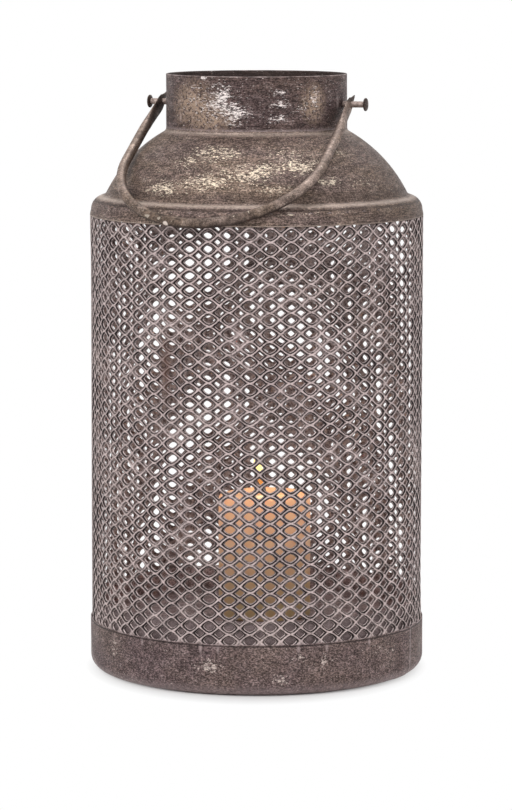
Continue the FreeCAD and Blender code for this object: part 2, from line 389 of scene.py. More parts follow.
# Each patch of worn-through finish: its turn from the front, its distance from the axis, its height
# and how far it reaches each way, in millimetres, and how thick it is
band_patches = [
    (-57, 137.8, 27, (6, 6, 13), 0.75),
    (-16, 137.8, 24, (18, 10, 9), 0.6),
    (8, 137.5, 14, (12, 10, 7), 0.6),
    (23, 137.8, 28, (4, 10, 9), 0.7),
    (14, 137.8, 31, (6, 10, 6), 0.75),
    (-21, 128.5, 0.8, (9, 8, 2.2), 1.4),
    (-14, 128.5, 0.8, (6, 8, 1.8), 1.4),
    (-50, 136.5, 6, (20, 20, 4), 0.45),
    (48, 137.8, 30, (20, 20, 8), 0.35),
]
band_drips = [(turn, 137.8, 39.2, (1.8, 1.8, 6), 0.75) for turn in (-19, -13, 14, 24, -42, 41)]

# Each line on the band: its place, the half widths where it ends and where it is full, its strength
# The lap's line is a painted highlight along the lap's edge; the lap's shade and the edge's shade are
# painted shadow lines beside the lap and just under the band's top edge.
lap_highlight_line = (0, 0.0013, 0.0007)
lap_shade = (0.0022, 0.0013, 0.0007, 0.8)
edge_shade = (band_height - 0.0013, 0.0009, 0.0004, 0.75)

band_metal, tree, coat, surface = metal_finish(
    "band_metal",
    {
        "Ground": tone(98, 82, 82), "Shade": tone(52, 42, 42), "Chip": tone(212, 196, 188),
        "Warmth": 0.25, "Streaks": 1.4, "Grain": 2.9, "Blotches": 0.4, "Flecks": 0.35,
        "Strokes": 0.09, "Worn": tone(174, 156, 155),
    },
    band_patches,
)
place, axes = own(tree)
broken = between(tree, noise_at(tree, place, 160, 3, 0.7), 0.44, 0.56)
top_edge = times(tree, between(tree, axes["Z"], band_height - 0.0006, band_height - 0.0002), broken)
past_lap = vectors(tree, "DOT_PRODUCT", place, (-math.sin(lap_turn), math.cos(lap_turn), 0))
right_side = between(tree, axes["X"], 0.12, 0.121)
# A painted highlight along the lap's edge, given as wear.
lap_edge_highlight = times(tree, line_at(tree, past_lap, *lap_highlight_line), right_side)
# The turned-in foot is painted lighter towards the floor: painted light that lifts the shade under its
# round, given as wear.
foot_painted_light = between(tree, axes["Z"], 0.01, 0.001, 0, 0.75)
lead(highest(tree, top_edge, lap_edge_highlight, foot_painted_light, patched(tree, band_drips)), coat, "Wear")
# Painted shadow beside the lap and just under the band's top edge, in a dark tone.
lap_painted_shadow = times(tree, line_at(tree, past_lap, *lap_shade), right_side)
painted_shadow_lines = highest(tree, lap_painted_shadow, line_at(tree, axes["Z"], *edge_shade))
lead(over(tree, painted_shadow_lines, coat.outputs["Colour"], tone(38, 30, 30)), surface, "Base Color")
dress(base_band, band_metal)


# Floor pan: a shallow tray of the same sheet, soldered inside the wall level with the band's edge.
# Its side is turned up round it, behind the wall's lowest openings. Wax and soot have stained it.

pan_radius = 0.1342
pan_top = 0.042
pan_sheet = 0.001
pan_side_height = 0.0185
pan_side_sheet = 0.0008
pan_sides = 120


def turns_round(count, first=0):
    """Even turns once round. The first one is given in steps."""
    return [2 * math.pi * (k + first) / count for k in range(count)]


def level_ring(radius, height):
    """An even ring of points about the axis."""
    return [spot(radius, turn, height) for turn in turns_round(pan_sides)]


def axis_distance(tree, place, squash=(1, 1, 0)):
    """How far a place lies from the upright axis."""
    return vectors(tree, "LENGTH", vectors(tree, "MULTIPLY", place, squash))


pan_rim = pan_top + pan_side_height
pan_inside = pan_radius - pan_side_sheet
pan_dish = [(0.13, 0), (0.127, 0.0003), (0.124, 0), (0.09, 0.0003), (0.05, 0.0005), (0.004, 0.0005)]
pan_line = (
    [(radius, pan_top - pan_sheet - dip) for radius, dip in pan_dish[::-1]]
    + [(pan_radius - 0.0003, pan_top - pan_sheet), (pan_radius, pan_top - 0.0007)]
    + [(pan_radius, pan_rim - 0.0003), (pan_radius - 0.0002, pan_rim)]
    + [(pan_inside + 0.0002, pan_rim), (pan_inside, pan_rim - 0.0003)]
    + [(pan_inside, pan_top + 0.0015), (pan_inside - 0.0005, pan_top + 0.0004)]
    + [(pan_inside - 0.0016, pan_top)]
    + [(radius, pan_top - dip) for radius, dip in pan_dish]
)
floor_pan = draw_rings("floor_pan_disc", [level_ring(*point) for point in pan_line], ends="filled")
smooth(floor_pan)
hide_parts("floor_pan")
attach(floor_pan, "lantern")
# The pan's metal is painted much paler than it is, painted light that stands in for light inside the
# lantern; its rim and outside face keep the darker tone.
pan_metal, tree, coat, surface = metal_finish(
    "pan_metal",
    {"Ground": tone(176, 156, 156), "Shade": tone(124, 108, 108), "Streaks": 1, "Warmth": 0.1},
)
away = axis_distance(tree, own(tree)[0])
outside = between(tree, away, pan_inside + 0.0004, pan_inside + 0.0006, 0, 0.8)
lead(over(tree, outside, coat.outputs["Colour"], tone(86, 73, 73)), surface, "Base Color")
dress(floor_pan, pan_metal)


# Pierced wall: a thin sheet punched with wide eyes and small diamonds in turn, half a row apart.
# The die left a raised ridge between them, and the punch drew each opening in to a torn lip.
# Ridges are rubbed light, and the lips carry a painted highlight where they face up. The sheet is rolled
# from two halves whose edges match.

wall_crest = 0.1366
wall_columns = 52
wall_turn = math.radians(-65.45)
wall_rows = 31
row_foot = 0.0446
row_pitch = 0.01117
column_pitch = 2 * math.pi * wall_crest / wall_columns
wall_foot = 0.0162
wall_top = 0.3812
wall_sheet = 0.001
skirt_edge = 0.375
drawn_in = 0.0021
ridge_bow = 0.00062
plain_edge = 0.0006
row_stray = 0.0002
wall_sway = 0.00025

# Each opening's half width and half height, from its flank down to its torn edge, and their depths
eye_outline = ((0.0061, 0.0046), (0.0053, 0.0039), (0.0043, 0.0031))
eye_roundness = 1.5
diamond_outline = ((0.005, 0.0042), (0.0041, 0.0035), (0.0031, 0.0026))
diamond_roundness = 1.14
punch_depths = (0.0003, 0.0011, 0.0019)

# How far up the relief each ring of a cell lies, with the sheet's back at -1, and its plain ends
relief_shares = (1, 0.8, 0.4, 0, -1)
plain_relief_share = 0.87
crest_shares = (0, 0.29, 0.71)
cell_points = 4 * len(crest_shares)

# Dust that has settled in patches, in the same form
wall_dust = [
    (-35, 136.6, 343, (17, 17, 17), 0.8),
    (-33, 136.6, 300, (36, 36, 20), 0.75),
    (-7, 136.6, 286, (13, 13, 24), 0.85),
    (-7, 136.6, 229, (9, 12, 10), 0.8),
    (26, 136.6, 191, (10, 12, 20), 0.8),
    (-25, 136.6, 141, (9, 12, 46), 0.75),
    (22, 136.6, 281, (19, 19, 17), 0.75),
    (2, 136.6, 326, (25, 25, 15), 0.6),
    (10, 136.6, 242, (19, 19, 13), 0.55),
    (33, 136.6, 355, (13, 13, 15), 0.5),
]


def eye_ring(half_width, half_height, roundness, depth):
    """Points round an opening, from a diamond at roundness 1 to an oval at 2."""
    ring = []
    for turn in turns_round(cell_points):
        x, y = math.cos(turn), math.sin(turn)
        ring.append(Vector((
            half_width * math.copysign(abs(x) ** (2 / roundness), x),
            half_height * math.copysign(abs(y) ** (2 / roundness), y),
            -depth,
        )))
    return ring


def crest_ring(bow, depth):
    """Points along the ridges round an opening. A bow pushes them away from its middle."""
    corners = [(column_pitch / 2, 0), (0, row_pitch / 2), (-column_pitch / 2, 0), (0, -row_pitch / 2)]
    side = math.hypot(column_pitch, row_pitch)
    ring = []
    for k in range(4):
        (ax, ay), (bx, by) = corners[k], corners[(k + 1) % 4]
        out_x, out_y = math.copysign(row_pitch / side, ax + bx), math.copysign(column_pitch / side, ay + by)
        for along in crest_shares:
            push = bow * 4 * along * (1 - along)
            ring.append(Vector((
                ax + (bx - ax) * along + push * out_x,
                ay + (by - ay) * along + push * out_y,
                -depth,
            )))
    return ring


def punched_cell(name, bow, roundness, outline):
    """The metal round one opening: half the ridge, its flank, the drawn-in lip and the back."""
    flank = [eye_ring(*size, roundness, depth) for size, depth in zip(outline, punch_depths)]
    cell = draw_rings(name, [crest_ring(bow, 0), *flank, crest_ring(bow, wall_sheet)])
    relief = cell.data.attributes.new("relief", "FLOAT", "POINT")
    relief.data.foreach_set("value", [share for share in relief_shares for _ in range(cell_points)])
    return cell


def apply_modifier(piece, kind, **settings):
    """Adds one modifier to a piece and applies it."""
    added = piece.modifiers.new("added", kind)
    for name, value in settings.items():
        setattr(added, name, value)
    pick(piece)
    bpy.ops.object.modifier_apply(modifier="added")


def repeat(piece, count, step):
    """Sets copies of a piece out in a line."""
    offset = {"use_relative_offset": False, "use_constant_offset": True, "constant_offset_displace": step}
    apply_modifier(piece, "ARRAY", count=count, **offset)


def half_wall(name, first_turn):
    """Half of the rolled sheet, with its plain foot and its top drawn in under the skirt."""
    eye = punched_cell(name, ridge_bow, eye_roundness, eye_outline)
    diamond = punched_cell("diamond", -ridge_bow, diamond_roundness, diamond_outline)
    diamond.data.transform(Matrix.Translation((column_pitch / 2, row_pitch / 2, 0)))
    for piece, rows in ((eye, wall_rows), (diamond, wall_rows - 1)):
        repeat(piece, rows, (0, row_pitch, 0))
        repeat(piece, wall_columns // 2, (column_pitch, 0, 0))
    pick(diamond, eye)
    bpy.ops.object.join()
    eye.data.transform(Matrix.Translation((0, row_foot, 0)))
    bpy.ops.object.mode_set(mode="EDIT")
    bpy.ops.mesh.select_all(action="SELECT")
    bpy.ops.mesh.remove_doubles(threshold=2e-5)

    # The open edge is drawn down to the plain foot and up to the plain top, then closed.
    for low, high, level in ((0, row_foot - 1e-4, wall_foot), (skirt_edge + 0.0035, 1, wall_top)):
        way = math.copysign(plain_edge, level - row_foot)
        bpy.ops.mesh.select_mode(type="EDGE")
        bpy.ops.mesh.select_all(action="DESELECT")
        mesh = bmesh.from_edit_mesh(eye.data)
        for edge in mesh.edges:
            if edge.is_boundary and low < (edge.verts[0].co.y + edge.verts[1].co.y) / 2 < high:
                edge.select = True
        for drawn_out in (False, True):
            bpy.ops.mesh.extrude_edges_move()
            mesh = bmesh.from_edit_mesh(eye.data)
            relief = mesh.verts.layers.float["relief"]
            for corner in mesh.verts:
                if corner.select:
                    corner.co.y = level if drawn_out else corner.co.y + way
                    corner[relief] = plain_relief_share
            bmesh.update_edit_mesh(eye.data)
    bpy.ops.mesh.select_all(action="DESELECT")
    bpy.ops.mesh.select_non_manifold()
    bpy.ops.mesh.bridge_edge_loops()
    bpy.ops.mesh.select_all(action="SELECT")
    bpy.ops.mesh.normals_make_consistent(inside=False)
    for level in (skirt_edge - 0.0005, skirt_edge - 0.0001):
        bpy.ops.mesh.select_all(action="SELECT")
        bpy.ops.mesh.bisect(plane_co=(0, level, 0), plane_no=(0, 1, 0))
    bpy.ops.object.mode_set(mode="OBJECT")

    flat = np.zeros(len(eye.data.vertices) * 3)
    eye.data.vertices.foreach_get("co", flat)
    along, height, depth = flat.reshape(-1, 3).T
    turn = first_turn + along / wall_crest
    sway = np.sin(3 * turn + 9 * height) + np.sin(5 * turn - 14 * height + 1)
    ease = np.clip(np.minimum(height - 0.045, skirt_edge - 0.006 - height) / 0.03, 0, 1)
    lift = row_stray * np.sin(13 * turn + 45 * height + 1) + row_stray * np.sin(29 * turn - 70 * height)
    shift = 0.003 * np.sin(11 * turn + 37 * height) + 0.002 * np.sin(31 * turn - 61 * height + 2)
    turn = turn + ease * shift
    height = height + ease * lift
    radius = wall_crest + depth - wall_sway * ease * (1 + sway / 2)
    radius = radius - drawn_in * (height > skirt_edge - 0.0002)
    rolled = np.stack([radius * np.cos(turn), radius * np.sin(turn), height], 1)
    eye.data.vertices.foreach_set("co", rolled.ravel())
    eye.data.update()
    smooth(eye, 38)
    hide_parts("mesh_wall")
    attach(eye, "lantern")
    return eye


wall_halves = [
    half_wall("pierced_wall_front", wall_turn - math.radians(90)),
    half_wall("pierced_wall_back", wall_turn + math.radians(90)),
]
wall_metal, tree, coat, surface = metal_finish(
    "wall_metal",
    {
        "Ground": tone(110, 95, 94), "Shade": tone(54, 43, 43), "Worn": tone(212, 194, 192),
        "Warm": tone(116, 101, 84), "Warmth": 0.35, "Streaks": 1, "Grain": 2.3,
    },
    metallic=0.3,
)
relief = node(tree, "Attribute", attribute_name="relief").outputs["Fac"]
place, axes = own(tree)
facing_up = own(tree, "Normal")[1]["Z"]
polish = between(tree, noise_at(tree, place, 55, 4, 0.7), 0.4, 0.6, 0.68, 1)
ridge = times(tree, between(tree, relief, 0.85, 0.93), polish)
# The torn lips are painted lighter where they face up, a painted highlight from the light above, given as
# wear.
lip = times(tree, between(tree, relief, 0.36, 0.28), between(tree, relief, 0.04, 0.12))
lip = times(tree, lip, between(tree, facing_up, -0.2, 0.4, 0.45, 1), 0.9)
broken = between(tree, noise_at(tree, place, 130, 3, 0.7), 0.45, 0.53)
torn_foot = times(tree, between(tree, axes["Z"], band_height + 0.0016, band_height + 0.001), broken)
lead(highest(tree, ridge, lip, torn_foot), coat, "Wear")

# The flanks and the torn edges are darkened with painted shade, less where dust lies on them. The sheet's
# back is bare, mottled tin, painted lighter than it is to stand in for light inside the lantern.
flank = times(tree, between(tree, relief, 0.32, 0.4), between(tree, relief, 0.88, 0.8))
torn_edge_shade = times(tree, between(tree, relief, -0.06, 0), between(tree, relief, 0.12, 0.05))
dust = between(tree, noise_at(tree, place, 30, 6, 0.75), 0.47, 0.66, 0, 0.85)
dust = highest(tree, dust, patched(tree, wall_dust))
painted_shade_mask = times(tree, highest(tree, flank, torn_edge_shade), between(tree, dust, 0.2, 0.9, 0.95, 0.5))
colour = over(tree, painted_shade_mask, coat.outputs["Colour"], tone(24, 18, 19))
# The sheet's back is bare tin, painted lighter than it is to stand in for the light inside the lantern.
mottle = between(tree, noise_at(tree, place, 300, 4, 0.75), 0.4, 0.6)
bare = over(tree, mottle, tone(104, 91, 91), tone(218, 202, 200))
colour = over(tree, between(tree, relief, -0.02, -0.12, 0, 0.9), colour, bare)
powder = times(tree, dust, between(tree, noise_at(tree, place, 560, 3, 0.8), 0.44, 0.58), 0.7)
colour = over(tree, powder, colour, tone(214, 196, 194))
rust = patch_round(tree, -32, 136.6, 262, (8, 12, 36), 0.6)
lead(over(tree, rust, colour, tone(104, 76, 66)), surface, "Base Color")
for half in wall_halves:
    dress(half, wall_metal)


# Shoulder: a dome spun from one disc, with a rounded lip and a short skirt at its edge.
# The lip sits on the wall's drawn-in top, and the dome's hole is turned up round the neck.
# Pale paint is left in flecks along the dome, rubbed sideways by cloths and hands.

dome_top = (0.0741, 0.444)
dome_end = (0.1243, 0.391)
dome_bulge = 0.0057
dome_steps = 60
lip_round = 0.0115
lip_level = 0.3795
lip_steps = 12
skirt_reach = 0.1367
shoulder_sheet = 0.001
neck_curve = 0.0035
lip_curve = 0.004
neck_bend_steps = 8
lip_bend_steps = 5
edge_round = 0.0002
spun_sides = 216


def dome_points(steps):
    """The dome's line from its hole down to the lip, an arc that bulges over the straight line."""
    (r0, z0), (r1, z1) = dome_top, dome_end
    chord = math.hypot(r1 - r0, z1 - z0)
    radius = (chord**2 / 4 + dome_bulge**2) / (2 * dome_bulge)
    points = []
    for k in range(steps + 1):
        along = k / steps
        lift = math.sqrt(radius**2 - (chord * (along - 0.5)) ** 2) - (radius - dome_bulge)
        points.append((
            r0 + (r1 - r0) * along + lift * (z0 - z1) / chord,
            z0 + (z1 - z0) * along + lift * (r1 - r0) / chord,
        ))
    return points


def turned_ring(radius, height, dented):
    """A ring of a spun piece. Knocks have left the metal a little uneven."""
    ring = []
    for turn in turns_round(spun_sides):
        dent = dented * noise.noise(spot(radius, turn, height) * 17)
        ring.append(spot(radius + dent, turn, height))
    return ring


dome = dome_points(dome_steps)
first_slope = math.atan2(dome[0][1] - dome[1][1], dome[1][0] - dome[0][0])
last_slope = math.atan2(dome[-2][1] - dome[-1][1], dome[-1][0] - dome[-2][0])
neck_touch = neck_curve * (1 - math.sin(first_slope)) / math.cos(first_slope)
neck_bend = [
    (dome_top[0] + neck_curve * (1 - math.cos(turn)), dome_top[1] + neck_touch - neck_curve * math.sin(turn))
    for turn in [(math.pi / 2 - first_slope) * k / neck_bend_steps for k in range(neck_bend_steps + 1)]
]
lip_touch = lip_curve * math.tan(last_slope / 2)
lip_bend = [
    (dome_end[0] + lip_touch - lip_curve * math.sin(turn), dome_end[1] + lip_curve * (1 - math.cos(turn)))
    for turn in [last_slope * (1 - k / lip_bend_steps) for k in range(lip_bend_steps)]
]
dome = [point for point in dome[::2] if neck_bend[-1][0] < point[0] < lip_bend[0][0] - 0.0003]
lip = [
    (dome_end[0] + lip_round * math.sin(turn), lip_level + lip_round * math.cos(turn))
    for turn in [math.pi / 2 * k / lip_steps for k in range(2, lip_steps + 1)]
]
shoulder = draw_rings(
    "shoulder_skin",
    [turned_ring(*point, 0) for point in neck_bend]
    + [turned_ring(*point, 0.0005) for point in dome]
    + [turned_ring(*point, 0.0002) for point in lip_bend + lip]
    + [turned_ring(skirt_reach - 0.0003, skirt_edge + 0.002, 0), turned_ring(skirt_reach, skirt_edge, 0)],
)
sharp = {"limit_method": "ANGLE", "angle_limit": math.radians(60)}
apply_modifier(shoulder, "SOLIDIFY", thickness=shoulder_sheet, offset=-1)
apply_modifier(shoulder, "BEVEL", width=edge_round, segments=2, **sharp)
smooth(shoulder, 50)
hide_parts("shoulder")
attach(shoulder, "lantern")

# Each line round the shoulder: its height, the half widths where it ends and is full, its strength
# The crest's line and the neck's line are painted highlights along the lip's top and the neck's foot.
crest_highlight_line = (0.3902, 0.0018, 0.0002, 0.85)
neck_bend_highlight_line = (0.4438, 0.0022, 0.0004, 0.6)
# The groove's line and the low dome's line are painted shade under the lip's crest and along the crease
# where the dome meets it.
under_crest_shade_line = (0.3872, 0.0012, 0.0004, 0.6)
low_dome_shade_line = (0.3955, 0.005, 0.001, 0.35)

shoulder_metal, tree, coat, surface = metal_finish(
    "shoulder_metal",
    {
        "Ground": tone(104, 88, 83), "Shade": tone(48, 38, 35), "Warm": tone(119, 101, 86),
        "Warmth": 0.6, "Chip": tone(244, 228, 206), "Worn": tone(190, 172, 160), "Streaks": 3.2,
        "Grain": 2.2, "Blotches": 0.45, "Flecks": 0.3,
    },
    [
        (4, 107.3, 417.1, (22, 16, 10), 0.85),
        (19, 104.3, 420.4, (34, 24, 10), 0.75),
        (-5, 109.8, 414, (36, 24, 12), 0.72),
        (-21, 113.6, 409, (36, 26, 11), 0.72),
        (-38, 117.9, 402.6, (32, 28, 10), 0.7),
        (-21, 94.9, 429.5, (30, 24, 10), 0.75),
        (-31, 102.6, 422.2, (24, 22, 8), 0.6),
        (16, 95.7, 428.8, (30, 22, 6), 0.6),
        (8, 117.9, 402.6, (26, 20, 6), 0.5),
        (30, 114.5, 407.8, (20, 18, 6), 0.7),
        (46, 115.5, 406, (30, 30, 8), 0.35),
        (42, 95.1, 429.3, (20, 20, 6), 0.35),
        (-35, 136, 378, (9, 9, 4), 1),
        (-31, 136.7, 376.5, (4, 4, 3.5), 1.6),
        (15, 134.5, 384.7, (40, 20, 2), 0.45),
        (100, 110, 412, (20, 40, 8), 0.6),
        (190, 106, 418, (40, 20, 8), 0.7),
        (-110, 114, 409, (20, 30, 6), 0.6),
    ],
    metallic=0.45,
)
place, axes = own(tree)
height = axes["Z"]
foot_line = between(tree, height, skirt_edge + 0.0009, skirt_edge + 0.0003, 0, 0.8)
# The painted highlights along the crest and the neck's foot, and a lighter skirt edge, are given as wear.
worn = highest(tree, line_at(tree, height, *crest_highlight_line), foot_line, line_at(tree, height, *neck_bend_highlight_line))
lead(worn, coat, "Wear")
# The dome's right side is painted darker, painted shade for how the light falls on it.
toward_shaded_side = vectors(tree, "DOT_PRODUCT", place, facing(90, 1, 0))
dull = over(tree, between(tree, toward_shaded_side, 0.02, 0.1, 0, 0.35), coat.outputs["Colour"], tone(50, 40, 38))
# Painted shade under the lip's crest and along the crease, in a dark tone.
painted_shade_mask = highest(tree, line_at(tree, height, *under_crest_shade_line), line_at(tree, height, *low_dome_shade_line))
lead(over(tree, painted_shade_mask, dull, tone(50, 38, 34)), surface, "Base Color")
dress(shoulder, shoulder_metal)


# Neck: a plain open tube of the same sheet, soldered into the dome's hole, its rim left as cut.
# Round each pin the sheet was knocked out into a small round dimple before it was drilled.

neck_radius = 0.074
neck_foot = 0.439
rim_height = 0.49
neck_sheet = 0.001
rim_round = 0.0003
neck_knock = 0.0004
pin_height = 0.466
dimple_reach = 0.0072
dimple_rise = 0.0012
neck_sides = 240
neck_steps = 40


def neck_ring(radius, height):
    """A ring of the neck, with the two dimples and a few soft knocks in it."""
    ring = []
    for turn in turns_round(neck_sides):
        side = neck_radius * math.sin(turn)
        away = math.hypot(side, height - pin_height) / dimple_reach
        rise = dimple_rise * min(0.8, (math.cos(math.pi * min(1, away)) + 1) / 2)
        knock = neck_knock * noise.noise(spot(radius, turn, height) * 28 + Vector((7, 0, 0)))
        ring.append(spot(radius + rise + knock, turn, height))
    return ring


tube_height = rim_height - rim_round - neck_foot
neck_levels = [neck_foot + tube_height * k / neck_steps for k in range(neck_steps + 1)]
neck_bore = neck_radius - neck_sheet
neck = draw_rings(
    "neck_tube",
    [neck_ring(neck_radius, level) for level in neck_levels]
    + [neck_ring(neck_radius - rim_round, rim_height), neck_ring(neck_bore + rim_round, rim_height)]
    + [neck_ring(neck_bore, level) for level in neck_levels[::-1]]
    + [neck_ring(neck_radius, neck_foot)],
    ends="joined",
)
smooth(neck, 50)
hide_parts("neck")
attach(neck, "lantern")

neck_rust = [
    (-45, 74, 467, (30, 30, 24)),
    (-30, 74, 455, (24, 20, 12)),
    (38, 74, 468, (14, 16, 20)),
]
# A painted highlight along the neck's foot, where it bends into the dome.
neck_foot_highlight_line = (0.4455, 0.003, 0.0008, 0.6)
neck_metal, tree, coat, surface = metal_finish(
    "neck_metal",
    {
        "Ground": tone(80, 65, 64), "Shade": tone(34, 26, 26), "Warm": tone(104, 86, 72),
        "Warmth": 0.25, "Chip": tone(246, 236, 232), "Worn": tone(176, 159, 156), "Streaks": 2.8,
        "Grain": 2.2, "Blotches": 0.45, "Flecks": 0.3,
    },
    [
        (-21, 74, 473.8, (10, 9, 14), 1.15),
        (-16, 74, 461, (20, 14, 13), 1.1),
        (-27, 74, 466, (28, 20, 24), 0.7),
        (-42, 74, 469.8, (24, 26, 20), 0.6),
        (14, 74, 477, (13, 10, 5), 0.7),
        (16, 74, 468.2, (13, 10, 4.5), 1.05),
        (13, 74, 457, (12, 10, 6), 0.85),
        (39, 74, 472.3, (8, 8, 14), 0.75),
        (30, 74, 464, (12, 10, 10), 0.45),
        (-35, 74, 488.5, (4, 4, 2.2), 1.3),
        (-149, 73.8, 490, (4, 4, 2), 1.4),
        (120, 74, 467, (14, 20, 12), 0.7),
        (200, 74, 464, (20, 12, 12), 0.8),
    ],
    metallic=0.4,
)
place, axes = own(tree)
broken = between(tree, noise_at(tree, place, 45, 3, 0.7), 0.42, 0.58, 0.15, 1)
rim_wear = times(tree, between(tree, axes["Z"], rim_height - 0.0008, rim_height - 0.0002), broken)
neck_foot_highlight = line_at(tree, axes["Z"], *neck_foot_highlight_line)
# A painted highlight on the lit edge of the right pin's dimple, given as wear.
knocked = patch_round(tree, 62, 74.5, 468, (3, 3, 8), 0.7)
scratch = patch_round(tree, -56, 74, 456.5, (1.6, 1.6, 5))
lead(highest(tree, rim_wear, neck_foot_highlight, knocked, scratch), coat, "Wear")
speckled = between(tree, noise_at(tree, place, 420, 4, 0.75), 0.44, 0.54, 0, 0.92)
colour = coat.outputs["Colour"]
for row in neck_rust:
    colour = over(tree, patch_round(tree, *row, speckled), colour, tone(170, 146, 127))
# The neck's inside is painted darker, painted shade inside the tube.
inside_neck_shade = between(tree, axis_distance(tree, place), neck_radius - 0.0004, neck_radius - 0.0008, 0, 0.7)
lead(over(tree, inside_neck_shade, colour, tone(52, 43, 40)), surface, "Base Color")
dress(neck, neck_metal)


# Pins: two iron pins with flat, slightly domed heads, brazed into the neck's dimples.
# The bail hangs on them and keeps their shanks bright. The heads are nearly black with age.

# Each ring of a pin: how far out it is and its radius
pin_line = [
    (0.0731, 0.0026), (0.079, 0.0026), (0.0926, 0.0025), (0.093, 0.0031), (0.093, 0.0049),
    (0.0933, 0.0053), (0.0941, 0.0053), (0.0945, 0.0049), (0.0948, 0.0034), (0.0949, 0.0012),
]
pin_sides = 32


def pin_ring(side, reach, radius):
    """A ring round a pin, which points straight out to one side."""
    turns = turns_round(pin_sides)
    return [Vector((side * reach, radius * math.cos(t), pin_height + radius * math.sin(t))) for t in turns]


pin_metal, tree, coat, surface = metal_finish(
    "pin_metal",
    {
        "Ground": tone(74, 61, 58), "Shade": tone(34, 27, 26), "Warm": tone(92, 74, 60),
        "Warmth": 0.6, "Worn": tone(182, 164, 156), "Streaks": 1,
    },
    metallic=0.5,
)
reach = sums(tree, "ABSOLUTE", own(tree)[1]["X"])
lead(between(tree, reach, 0.0926, 0.0922, 0, 0.85), coat, "Wear")
for side, name in ((-1, "pin_left"), (1, "pin_right")):
    pin = draw_rings(name, [pin_ring(side, reach, radius) for reach, radius in pin_line], ends="filled")
    smooth(pin)
    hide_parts("pins")
    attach(pin, "lantern")
    dress(pin, pin_metal)


# Bail: one round rod bent to a U. Each end is beaten flat, pierced for its pin and drawn out
# to a point past it. It swings on the pins and lies forward on the shoulder.

rod_radius = 0.0041
bail_half_span = 0.084
bail_shift = 0.00146
bail_straight = 0.085
bail_lean = math.radians(58.54)
bail_sides = 20
bail_bend_steps = 40
hole_radius = 0.0029
left_tail = 0.015
right_tail = 0.013

# The ends lean inwards towards the neck, from where the rod is still round to just before the pin.
end_lean = 0.0021
lean_from = 0.04
lean_length = 0.035

# Each station of an end: how far past the pin it is, then the rod's half width and half thickness
end_stations = [
    (-0.04, 0.0041, 0.0041), (-0.034, 0.0047, 0.0038), (-0.028, 0.0053, 0.003),
    (-0.02, 0.0061, 0.002), (-0.013, 0.0065, 0.0015), (-0.008, 0.0066, 0.0014), (-0.003, 0.0067, 0.0014),
    (0.002, 0.0055, 0.0014),
]

# The same for the point, with its stations as shares of the tail
tail_shares = [(0.35, 0.0038, 0.0013), (0.6, 0.0022, 0.0011), (0.85, 0.0012, 0.0008), (1, 0.0004, 0.0004)]


def rod_ring(middle, inward, wide, thick):
    """A ring round the rod: wide across the bail's plane and thick along the way to its inside."""
    turns = turns_round(bail_sides, 0.5)
    return [middle + inward * thick * math.cos(t) + Vector((0, wide * math.sin(t), 0)) for t in turns]


def bail_end(side, tail):
    """Rings of one end, from the point past its pin down to where the rod is round."""
    stations = end_stations + [(share * tail, wide, thick) for share, wide, thick in tail_shares]
    rings = []
    for past, wide, thick in stations[::-1]:
        span = bail_half_span - end_lean * min(1, (past + lean_from) / lean_length)
        rings.append(rod_ring(Vector((side * span, 0, past)), Vector((-side, 0, 0)), wide, thick))
    return rings


bend = []
for k in range(bail_bend_steps + 1):
    turn = math.pi * k / bail_bend_steps
    inward = Vector((math.cos(turn), 0, math.sin(turn)))
    middle = inward * -bail_half_span - Vector((0, 0, bail_straight))
    bend.append(rod_ring(middle, inward, rod_radius, rod_radius))
hung = bail_end(-1, left_tail) + bend + bail_end(1, right_tail)[::-1]
lean = Matrix.Translation((-bail_shift, 0, pin_height)) @ Matrix.Rotation(-bail_lean, 4, "X")
forged = []
for ring in hung:
    middle = sum(ring, Vector()) / len(ring)
    beaten = [middle + (point - middle) * (1 - 0.06 * abs(noise.noise(point * 120))) for point in ring]
    forged.append([lean @ point for point in beaten])
bail = draw_rings("bail_rod", forged, ends="filled")

pick()
bpy.ops.mesh.primitive_cylinder_add(
    vertices=32, radius=hole_radius, depth=0.2, location=(0, 0, pin_height), rotation=(0, math.pi / 2, 0)
)
drill = bpy.context.object
apply_modifier(bail, "BOOLEAN", operation="DIFFERENCE", solver="EXACT", object=drill)
bpy.data.objects.remove(drill)
smooth(bail, 32)
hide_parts("bail")
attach(bail, "bail")
bail_metal, tree, coat, surface = metal_finish(
    "bail_metal",
    {
        "Ground": tone(120, 104, 97), "Shade": tone(58, 46, 42), "Warm": tone(128, 108, 88),
        "Warmth": 0.6, "Chip": tone(222, 208, 192), "Worn": tone(190, 171, 160), "Streaks": 1,
        "Grain": 1.5,
    },
    [
        (-36.08, 146.2207, 382.2, (4, 4, 2.2), 1.6),
        (-31.8081, 146.6024, 380.8, (4, 4, 2.2), 1.6),
        (6.5651, 111.8034, 420, (30, 20, 30), 0.25),
    ],
    metallic=0.45,
)
axes = own(tree)[1]
turned = own(tree, "Normal")[1]
# The sides facing in towards the neck and down carry painted shade; the points past the pins are darker, and
# the rod is darker towards its lowest part.
outward = times(tree, turned["X"], sums(tree, "SIGN", axes["X"]))
painted_shade_and_dark_points = highest(
    tree,
    between(tree, outward, -0.2, -0.8, 0, 0.6),
    between(tree, turned["Z"], -0.1, -0.7),
    between(tree, axes["Z"], pin_height + 0.001, pin_height + 0.003),
)
low = between(tree, axes["Z"], 0.402, 0.386, 0, 0.35)
painted_shade_and_dark_points = highest(tree, times(tree, painted_shade_and_dark_points, 0.8), low)
colour = over(tree, painted_shade_and_dark_points, coat.outputs["Colour"], tone(46, 35, 31))
chip = between(tree, patch_round(tree, -29.2371, 146.3984, 377.2, (3.4, 5, 3)), 0.25, 0.6)
lead(over(tree, chip, colour, tone(226, 212, 202)), surface, "Base Color")
